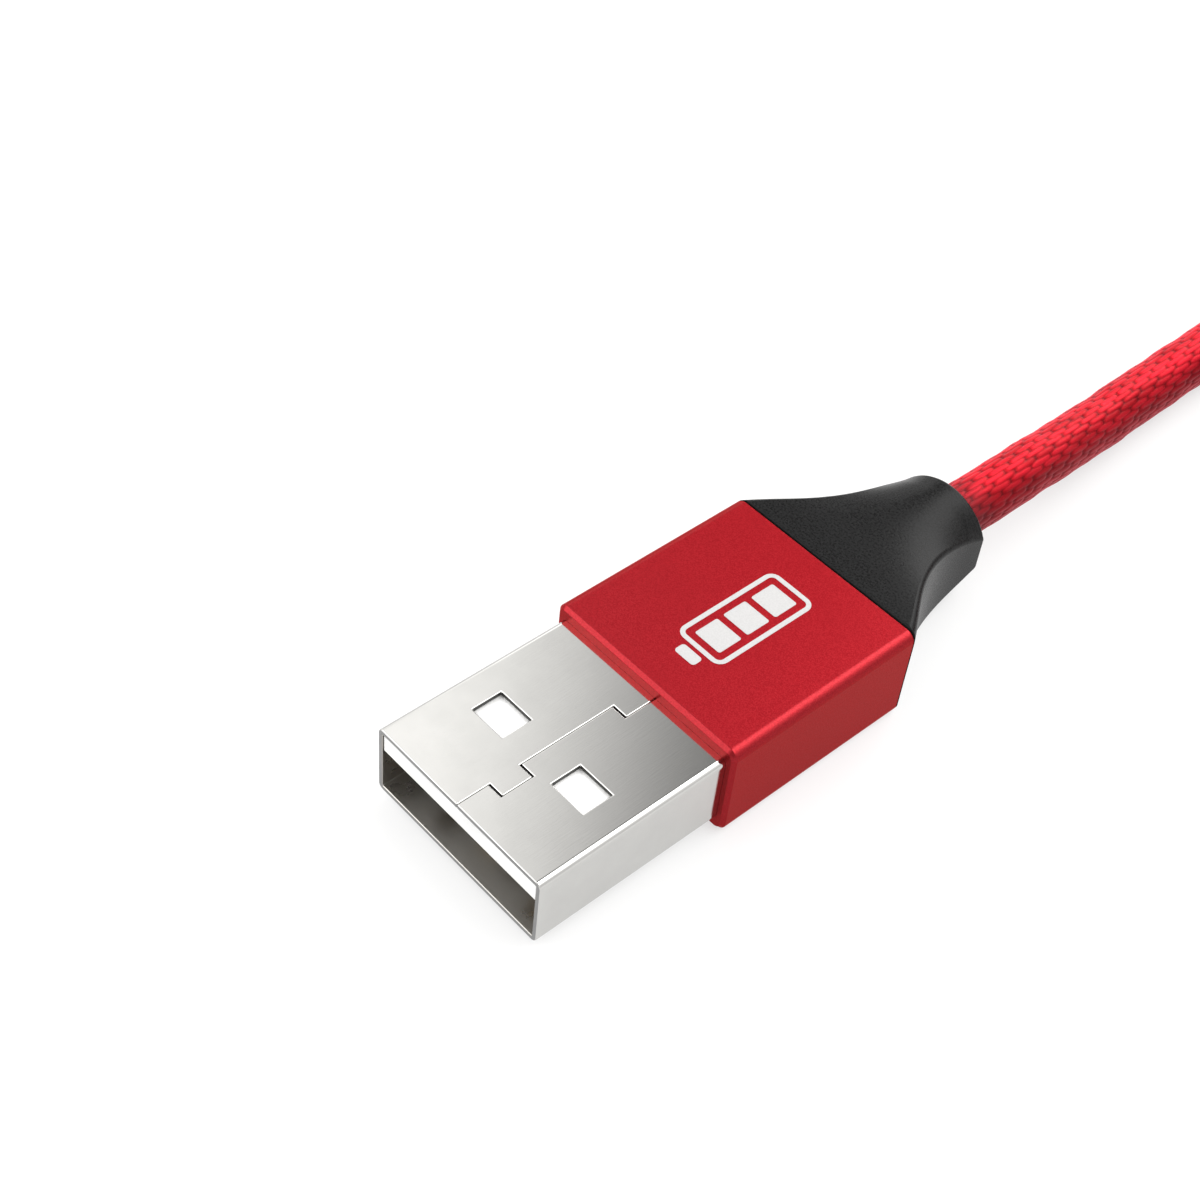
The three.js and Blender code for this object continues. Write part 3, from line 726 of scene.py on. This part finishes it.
def shell_grid():
    """Lines across and along the flat sheet that the shell is folded from, and what is cut out."""
    half_width, half_height = SHELL_HALF
    flat_top, flat_side = half_width - SHELL_CORNER, 2 * (half_height - SHELL_CORNER)
    arc = SHELL_CORNER * math.pi / 2
    half = 2 * flat_top + flat_side + 2 * arc
    slit, cross = (width / 2 for width in SEAM_SLIT)
    right = [slit, SEAM_STEP + slit, *WINDOW_X]
    right += [flat_top + arc * k / 6 for k in range(7)]
    right += [flat_top + arc + flat_side + arc * k / 6 for k in range(7)]
    right += [half - x for x in reversed(WINDOW_X)]
    left = [2 * half - u for u in reversed(right[2:])]
    lines_u = right + left + [2 * half - slit, 2 * half + SEAM_STEP - slit]
    lines_y = [0.0, *[t + s for t in SEAM_TURNS for s in (-cross, cross)], *WINDOW_Y, SHELL_LENGTH]
    windows = [sorted(half * s + d * x for x in WINDOW_X) for s in (0, 1, 2) for d in (-1, 1)]
    return lines_u, sorted(lines_y), windows, half


def make_shell_a(bright, sheared, shaded, inside):
    """The shell is cut as a flat sheet, its edges are rounded, and it is folded into the plug."""
    lines_u, lines_y, windows, half = shell_grid()
    slit, cross = (width / 2 for width in SEAM_SLIT)

    def kept(u, y):
        if any(a < u < b for a, b in windows) and WINDOW_Y[0] < y < WINDOW_Y[1]:
            return False
        if any(abs(y - t) < cross for t in SEAM_TURNS):
            return SEAM_STEP + slit < u < 2 * half - slit
        stepped = SEAM_TURNS[0] < y < SEAM_TURNS[1] or y > SEAM_TURNS[2]
        if u < SEAM_STEP + slit:
            return not stepped
        return u < 2 * half - slit or stepped

    sheet = bmesh.new()
    grids = [[[sheet.verts.new((u, y, -z)) for y in lines_y] for u in lines_u]
             for z in (0.0, SHELL_WALL)]
    cells = set()
    for i in range(len(lines_u) - 1):
        for j in range(len(lines_y) - 1):
            if kept((lines_u[i] + lines_u[i + 1]) / 2, (lines_y[j] + lines_y[j + 1]) / 2):
                cells.add((i, j))
    for i, j in cells:
        for side, grid in enumerate(grids):
            corners = [grid[i][j], grid[i + 1][j], grid[i + 1][j + 1], grid[i][j + 1]]
            sheet.faces.new(corners if side == 0 else corners[::-1])
        walls = (((i - 1, j), (i, j + 1), (i, j)), ((i + 1, j), (i + 1, j), (i + 1, j + 1)),
                 ((i, j - 1), (i, j), (i + 1, j)), ((i, j + 1), (i + 1, j + 1), (i, j + 1)))
        for neighbour, a, b in walls:
            if neighbour not in cells:
                top, under = grids
                sheet.faces.new([top[a[0]][a[1]], under[a[0]][a[1]],
                                 under[b[0]][b[1]], top[b[0]][b[1]]])
    loose = [v for v in sheet.verts if not v.link_faces]
    bmesh.ops.delete(sheet, geom=loose, context="VERTS")
    rims = [e for e in sheet.edges if e.calc_face_angle(0) > 1]
    bmesh.ops.bevel(sheet, geom=rims, offset=0.07 * MM, segments=3, profile=0.5,
                    affect="EDGES", clamp_overlap=True)
    bmesh.ops.recalc_face_normals(sheet, faces=sheet.faces[:])
    finishes = []
    for face in sheet.faces:
        middle, outward = face.calc_center_median(), face.normal
        if outward.z < -0.7:
            finishes.append(3)
        elif abs(outward.z) > 0.3:
            finishes.append(0)
        else:
            finishes.append(1 if middle.y < 0.1 * MM else 2)
    for vertex in sheet.verts:
        x, z, nx, nz = perimeter_point(vertex.co.x)
        depth = -vertex.co.z
        vertex.co = (x - nx * depth, vertex.co.y, z - nz * depth)
    points = [tuple(v.co) for v in sheet.verts]
    sheet.verts.index_update()
    faces = [tuple(v.index for v in f.verts) for f in sheet.faces]
    sheet.free()
    piece = add_piece("folded_shell", placed(points, TYPE_A["place"]), faces,
                      [bright, sheared, shaded, inside], finishes=finishes)
    crisp_flats(piece)
    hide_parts("shell_a")


# ---------------------------------------- USB-C shell and insert


def make_shell_c(material):
    """A drawn steel tube of a stadium section, with its mouth rounded outside and inside."""
    half_width, half_height, wall = 4.125 * MM, 1.2 * MM, 0.2 * MM
    length, lip = 12.0 * MM, 0.08 * MM

    def ring(inset, y):
        height = half_height - inset
        return section(y, half_width - inset, height, height - 0.002 * MM, 14)

    turns = [k / 4 * math.pi / 2 for k in range(5)]
    rings = [ring(lip * (1 - math.sin(a)), lip * (1 - math.cos(a))) for a in turns]
    rings += [ring(0, length), ring(wall, length)]
    rings += [ring(wall - lip * (1 - math.cos(a)), lip * (1 - math.sin(a))) for a in turns]
    points, faces = closed_skin(rings[::-1])
    piece = add_piece("drawn_shell", placed(points, TYPE_C["place"]), faces, material)
    crisp_flats(piece)
    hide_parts("shell_c")


# ---------------------------------------- printed mark


def rounded_outline(half_width, low_y, high_y, corner, steps=6):
    """A rectangle with rounded corners in plan."""
    ring = []
    x = half_width - corner
    middles = ((x, high_y - corner), (-x, high_y - corner), (-x, low_y + corner), (x, low_y + corner))
    for quarter, (x, y) in enumerate(middles):
        for k in range(steps + 1):
            angle = (quarter + k / steps) * math.pi / 2
            ring.append((x + corner * math.cos(angle), y + corner * math.sin(angle)))
    return ring


def make_mark(material):
    """A plain battery sign, printed on top of the USB-A housing."""
    middle_x, middle_y = 0.25 * MM, centre("housing_a")[1] + 0.4 * MM
    housing_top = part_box("housing_a")[1][2]
    heights = (housing_top - 0.004 * MM, housing_top + 0.012 * MM)
    half_width, half_length = 1.6 * MM, 3.5 * MM
    line = 0.28 * MM

    def rings(*outline):
        """An outline at the print's underside and at its top."""
        return [[(middle_x + x, middle_y + y, z) for x, y in rounded_outline(*outline)]
                for z in heights]

    under, top = rings(half_width, -half_length, half_length, 0.6 * MM)
    inner_under, inner_top = rings(half_width - line, line - half_length, half_length - line,
                                   0.3 * MM)
    points, faces = closed_skin([inner_under, inner_top, top, under])
    plates = [(0.7 * MM, -half_length - 0.95 * MM, -half_length - 0.25 * MM, 0.2 * MM)]
    bars, gap = 3, 0.42 * MM
    bar = (2 * (half_length - line) - (bars + 1) * gap) / bars
    for k in range(bars):
        y = line - half_length + gap + k * (bar + gap)
        plates.append((half_width - line - gap, y, y + bar, 0.12 * MM))
    for plate in plates:
        under, top = rings(*plate)
        start, count = len(points), len(under)
        points += under + top
        lower, upper = range(start, start + count), range(start + count, start + 2 * count)
        faces += [tuple(upper), tuple(reversed(lower))]
        faces += [(lower[j - 1], lower[j], upper[j], upper[j - 1]) for j in range(count)]
    add_piece("printed_battery_sign", points, faces, material, False)


# ---------------------------------------- cord route

CORD_RADIUS = 1.65 * MM
PITCH = 2 * CORD_RADIUS
LOOP_RADIUS = 9.9 * MM
WAIST_RADIUS = 13.2 * MM
WAIST_LIFT = 1.5 * MM
RUN_ROUTE = [
    (0, 0.0172, 0.0030), (0, 0.0205, 0.0030), (-0.0001, 0.024, 0.00286),
    (-0.00033, 0.028, 0.00242), (-0.00058, 0.032, 0.00198), (-0.0008, 0.036, 0.00176),
    (-0.00092, 0.040, 0.0017), (-0.0010, 0.044, 0.0017), (-0.0012, 0.048, 0.0017),
    (-0.00185, 0.053, 0.0017), (-0.0029, 0.0576, 0.0017), (-0.00378, 0.0613, 0.0017),
    (-0.00445, 0.0648, 0.00171), (-0.00475, 0.0677, 0.00173),
]
# Each turn's track, 0 inner and 1 outer, and its layer; the last is the end that lies on top.
TURN_CELLS = [(1, 0), (0, 0), (0, 1), (1, 1), (1, 2), (0, 2), (0, 3)]


def smooth_step(t):
    t = min(1.0, max(0.0, t))
    return t * t * (3 - 2 * t)


def turn_places():
    """One turn of the hank, clockwise from the near loop's left side.

    Gives the arc's middle, whether it is a loop, the angle on it, and how many degrees of the
    near loop's way back to the left are done."""
    waist_x = PITCH / 2 + WAIST_RADIUS
    reach = math.sqrt((LOOP_RADIUS + WAIST_RADIUS) ** 2 - waist_x**2)
    lean = math.degrees(math.atan2(reach, waist_x))
    places = []

    def arc(middle, loop, start, end, back=False):
        steps = max(2, round(abs(end - start) / 7))
        for k in range(steps):
            angle = start + (end - start) * k / steps
            places.append((middle, loop, math.radians(angle), start - angle if back else 0.0))

    arc((0, -reach), True, 180, 180 - lean)
    arc((-waist_x, 0), False, -lean, lean)
    arc((0, reach), True, 180 + lean, -lean)
    arc((waist_x, 0), False, 180 - lean, 180 + lean)
    arc((0, -reach), True, lean, -180, True)
    return places


def hank_points():
    middle_x, middle_y, _ = centre("cord_hank")
    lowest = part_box("cord_hank")[0][2] + CORD_RADIUS
    window, stagger = 100.0, 26.0  # degrees that a change of track takes, and between two changes
    turns = len(TURN_CELLS) - 1
    places = turn_places()
    points = []

    def add(place, track, layer):
        (x, y), loop, angle, _ = place
        radius = LOOP_RADIUS + track * PITCH if loop else WAIST_RADIUS - track * PITCH
        x, y = x + radius * math.cos(angle), y + radius * math.sin(angle)
        lift = WAIST_LIFT * smooth_step((17.0 * MM - abs(y)) / (10.0 * MM))
        points.append((middle_x + x, middle_y + y, lowest + layer * PITCH + lift))

    for turn in range(turns):
        (track, layer), (next_track, next_layer) = TURN_CELLS[turn:turn + 2]
        for place in places:
            done = place[3] - stagger * (turns - 1 - turn)
            share = smooth_step(done / window)
            add(place, track + share * (next_track - track), layer + share * (next_layer - layer))
    to_waist = [p for p in places if p[3] == 0.0 and p[0][0] <= 0][:40]
    for place in to_waist:
        if place[0][1] > 0 or (not place[1] and place[2] > 0):
            break
        add(place, *TURN_CELLS[-1])
    return points


def cord_route():
    boot_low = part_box("strain_relief_c")[0]
    plug_x, _, plug_z = centre("strain_relief_c")
    points = RUN_ROUTE + hank_points()
    last = points[-1]
    end = boot_low[1] + 1.0 * MM
    for k in (0.33, 0.66, 1.0):
        points.append((plug_x, last[1] + (end - last[1]) * k, last[2] + (plug_z - last[2]) * k))
    return np.array(points)


def distances(points):
    """How far along a line each of its points is."""
    steps = np.linalg.norm(np.diff(points, axis=0), axis=1)
    return np.concatenate([[0], np.cumsum(steps)])


def resampled(points, spacing):
    """Points every spacing along a Catmull-Rom curve through the given ones."""
    padded = np.vstack([2 * points[0] - points[1], points, 2 * points[-1] - points[-2]])
    dense = []
    for a, b, c, d in zip(padded, padded[1:], padded[2:], padded[3:]):
        for t in np.linspace(0, 1, 16, endpoint=False):
            dense.append(0.5 * (2 * b + (c - a) * t + (2 * a - 5 * b + 4 * c - d) * t**2
                                + (3 * b - a - 3 * c + d) * t**3))
    dense = np.array(dense + [points[-1]])
    travelled = distances(dense)
    places = spacing(travelled[-1])
    return np.stack([np.interp(places, travelled, dense[:, k]) for k in range(3)], 1), places


def transported_frames(points):
    tangents = np.gradient(points, axis=0)
    tangents /= np.linalg.norm(tangents, axis=1)[:, None]
    sides = [np.array([1.0, 0.0, 0.0])]
    for tangent in tangents[1:]:
        side = sides[-1] - tangent * (sides[-1] @ tangent)
        sides.append(side / np.linalg.norm(side))
    sides = np.array(sides)
    return sides, np.cross(sides, tangents)


# ---------------------------------------- braided cord

CLOSE_LENGTH = 0.034  # of cord near the USB-A plug whose yarns are modelled one by one
CLOSE_SIDES, CLOSE_STEP = 192, 0.00013
FAR_SIDES, FAR_STEP = 32, 0.0012
YARN_RELIEF = 0.00015
SLEEVE_WAVE = 0.000018


def make_cord(material):
    """The braided sleeve as one skin, finer where it can be seen from near."""
    route = cord_route()

    def spacing(length):
        close = np.arange(0, CLOSE_LENGTH, CLOSE_STEP)
        far = np.linspace(CLOSE_LENGTH, length, round((length - CLOSE_LENGTH) / FAR_STEP))
        return np.concatenate([close, far])

    path, places = resampled(route, spacing)
    sides, ups = transported_frames(path)
    points, faces, maps = [], [], []
    rings = []
    for k, along in enumerate(places):
        count = CLOSE_SIDES if along < CLOSE_LENGTH else FAR_SIDES
        around = np.arange(count) / count
        fade = min(1.0, max(0.0, (CLOSE_LENGTH - along) / 0.002))
        relief = YARN_RELIEF * fade * (braid_height(around, along) - 0.75)
        wave = SLEEVE_WAVE * (math.sin(along / 0.00049) + math.sin(along / 0.00083 + 1))
        radius = CORD_RADIUS - 0.05 * MM + relief + fade * wave * np.cos(2 * np.pi * around + 0.7)
        angles = 2 * np.pi * around
        ring = (path[k] + np.outer(radius * np.cos(angles), sides[k])
                + np.outer(radius * np.sin(angles), ups[k]))
        rings.append((len(points), count))
        points.extend(ring)
        maps.extend((a, along, fade) for a in around)
    for (first, count), (second, next_count) in zip(rings, rings[1:]):
        ratio = count // next_count
        for j in range(next_count):
            near = [first + (j * ratio + i) % count for i in range(ratio + 1)]
            far = [second + (j + 1) % next_count, second + j]
            faces.append((*near, *far))
    faces.append(tuple(range(CLOSE_SIDES))[::-1])
    last, count = rings[-1]
    faces.append(tuple(range(last, last + count)))
    piece = add_piece("braided_cord", points, faces, material)
    mesh = piece.data
    uv = mesh.uv_layers.new(name="braid")
    for face in mesh.polygons:
        corners = [mesh.loops[i].vertex_index for i in face.loop_indices]
        turns = [maps[v][0] for v in corners]
        wraps = max(turns) - min(turns) > 0.5
        for loop, turn, vertex in zip(face.loop_indices, turns, corners):
            uv.data[loop].uv = (turn + 1 if wraps and turn < 0.5 else turn, maps[vertex][1])
    flatness = mesh.attributes.new("flatness", "FLOAT", "POINT")
    flatness.data.foreach_set("value", [1 - fade for _, _, fade in maps])
    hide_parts("cord_run", "cord_hank", "cord_tail")
    return piece, path, float(places[-1])


# ---------------------------------------- strap


def strap_line():
    """The strap's middle line round the waist, in x and z, counter-clockwise from low right."""
    middle = centre("cord_hank")[0]
    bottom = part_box("cord_hank")[0][2] + CORD_RADIUS + WAIST_LIFT
    top = bottom + 2 * PITCH
    centres = [(middle + 1.5 * PITCH, bottom), (middle + 1.5 * PITCH, top),
               (middle - 0.5 * PITCH, top + PITCH), (middle - 1.5 * PITCH, top),
               (middle - 1.5 * PITCH, bottom)]
    reach = CORD_RADIUS + 0.8 * MM
    line = []
    for k, (x, z) in enumerate(centres):
        before, after = centres[k - 1], centres[(k + 1) % len(centres)]
        start = math.atan2(z - before[1], x - before[0]) - math.pi / 2
        end = math.atan2(after[1] - z, after[0] - x) - math.pi / 2
        while end < start:
            end += 2 * math.pi
        steps = max(2, round((end - start) / 0.2))
        for i in range(steps + 1):
            angle = start + (end - start) * i / steps
            line.append((x + reach * math.cos(angle), z + reach * math.sin(angle)))
    return np.array(line)


def make_strap(material):
    """Hook-and-loop tape once round the hank, with its end pressed down over its start."""
    line, middle_y = strap_line(), centre("tie_strap")[1]
    start = int(np.argmin(np.hypot(line[:, 0] - line[:, 0].max(), line[:, 1] - line[:, 1].mean())))
    line = np.roll(line, -start, axis=0)
    closed = np.vstack([line, line[:1]])
    travelled = distances(closed)
    around = travelled[-1]
    overlap, lift = 6.5 * MM, 0.92 * MM  # of the strap's end over its start
    count = 180
    thick, half = 0.85 * MM, 6.0 * MM
    bend = WAIST_RADIUS - PITCH  # of the outer turns, which press the strap's edges outwards
    edge = thick / 2
    profile = []
    for side in (1, -1):
        for i in range(7):
            angle = (i / 6 - 0.5) * math.pi * side
            profile.append((side * (half - edge + edge * math.cos(angle)), edge * math.sin(angle)))
        profile += [(side * y * MM, side * edge) for y in (4.5, 3.0, 1.5, 0.0, -1.5, -3.0, -4.5)]
    step = (around + overlap) / count

    def at(s):
        return np.array([np.interp(s % around, travelled, closed[:, i]) for i in (0, 1)])

    rings = []
    for k in range(count + 1):
        s = k * step
        tangent = at(s + 0.2 * MM) - at(s - 0.2 * MM)
        tangent /= np.linalg.norm(tangent)
        normal = np.array([tangent[1], -tangent[0]])
        middle = at(s) + normal * lift * smooth_step((s - around + 4 * MM) / (4 * MM))
        ring = []
        for y, depth in profile:
            flare = bend - math.sqrt(bend**2 - y**2)
            place = middle + normal * (depth + flare * abs(normal[0]) ** 1.5)
            ring.append((place[0], middle_y + y, place[1]))
        rings.append(ring)
    points = [p for ring in rings for p in ring]
    width = len(rings[0])
    faces = []
    for k in range(count):
        for j in range(width):
            a, b = k * width + j, k * width + (j + 1) % width
            faces.append((a, b, b + width, a + width))
    faces.append(tuple(range(width))[::-1])
    faces.append(tuple(range(count * width, (count + 1) * width)))
    piece = add_piece("hook_and_loop_strap", points, faces, material)
    mesh = piece.data
    uv = mesh.uv_layers.new(name="tape")
    for loop in mesh.loops:
        vertex = loop.vertex_index
        uv.data[loop.index].uv = (points[vertex][1], vertex // width * step)
    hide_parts("tie_strap")
    return piece


# ---------------------------------------- CAD nodes


def bevelled_copy(node, name, material, edge):
    """A copy of a CAD node with its sharp edges rounded, which stands for it."""
    mesh = frame["nodes"][node].data.copy()
    mesh.materials.clear()
    mesh.materials.append(material)
    shape = bmesh.new()
    shape.from_mesh(mesh)
    bmesh.ops.remove_doubles(shape, verts=shape.verts[:], dist=1e-7)
    bmesh.ops.dissolve_limit(shape, angle_limit=math.radians(2), verts=shape.verts[:],
                             edges=shape.edges[:])
    shape.to_mesh(mesh)
    shape.free()
    piece = bpy.data.objects.new(name, mesh)
    bpy.context.collection.objects.link(piece)
    bevel = piece.modifiers.new("bevel", "BEVEL")
    bevel.width, bevel.segments, bevel.use_clamp_overlap = edge, 2, True
    bevel.limit_method, bevel.angle_limit = "ANGLE", math.radians(40)
    bpy.context.view_layer.objects.active = piece
    bpy.ops.object.modifier_apply(modifier=bevel.name)
    piece.data.shade_smooth()
    crisp_flats(piece)
    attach(piece, "root")
    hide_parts(node)


def dress(node, material):
    """Gives a CAD node that stays a finished material."""
    holder = frame["nodes"][node]
    if not holder.data.materials:
        holder.data.materials.append(material)
    for k in range(len(holder.material_slots)):
        holder.material_slots[k].link = "OBJECT"
        holder.material_slots[k].material = material


def main():
    make_camera()
    yarn = braid()
    cord, path, length = make_cord(yarn)
    make_studio()

    bright = steel("nickel_plate")
    spring = steel("spring_steel", (0.62, 0.61, 0.60), 0.24, 0.38)
    red = anodised_red()
    elastomer = rubber()
    white = plastic("white_insulator", (0.84, 0.84, 0.835), 0.35)
    black = plastic("black_insulator", (0.018, 0.018, 0.020), 0.4)
    gilt = gold()

    sheared = steel("sheared_edge", (0.27, 0.27, 0.27), 0.4, 0.5)
    # The walls of the windows and of the seam's slit: bare cut steel like the rim, with painted shade
    # that makes them near black.
    shaded = steel("punched_wall_painted_shade", (0.06, 0.06, 0.058), 0.35, 0.5)
    # The shell's inner face: rougher unpolished steel, its colour darkened as painted shade in the
    # cavity.
    inside = steel("unpolished_inside_painted_shade", (0.42, 0.405, 0.38), 0.26, 0.38)
    make_shell_a(bright, sheared, shaded, inside)
    make_housing("red_sleeve_a", TYPE_A, red, "housing_a")
    make_boot("tapered_boot_a", TYPE_A, elastomer, "strain_relief_a")
    make_mark(white_print())
    bevelled_copy("insulator_a", "white_tongue", white, 0.05 * MM)

    make_shell_c(bright)
    make_housing("red_sleeve_c", TYPE_C, red, "housing_c")
    make_boot("tapered_boot_c", TYPE_C, elastomer, "strain_relief_c")
    strap = make_strap(strap_fabric())

    finishes = {"insulator_c": black, "resistor_c": black, "paddle_board_c": board_green()}
    mould = plastic("hot_melt", (0.60, 0.56, 0.46), 0.5)
    for plug in "ac":
        finishes |= {f"shield_can_{plug}": spring, f"cord_end_{plug}": yarn,
                     f"inner_mould_{plug}": mould}
    wire_colours = {"red": (0.5, 0.02, 0.02), "white": (0.8, 0.8, 0.78),
                    "green": (0.03, 0.3, 0.08), "black": (0.02, 0.02, 0.02)}
    for word, colour in wire_colours.items():
        sleeve = plastic(f"{word}_wire_sleeve", colour, 0.4)
        finishes |= {f"wire_{word}_a": sleeve, f"wire_{word}_c": sleeve}
    for node in frame["nodes"]:
        if node.startswith("contact_"):
            finishes[node] = gilt
        if node.startswith(("side_latch_", "ground_spring_")):
            finishes[node] = spring
    for node, material in finishes.items():
        dress(node, material)

    far_plug = [bpy.data.objects[n] for n in ("drawn_shell", "red_sleeve_c", "tapered_boot_c")]
    left_out = ("wire_", "cord_end", "shell_c", "housing_c", "strain_relief_c")
    far_plug += [frame["nodes"][n] for n in frame["nodes"]
                 if n.endswith("_c") and not n.startswith(left_out)]
    tuple(RUN_ROUTE[0])
    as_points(path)


main()
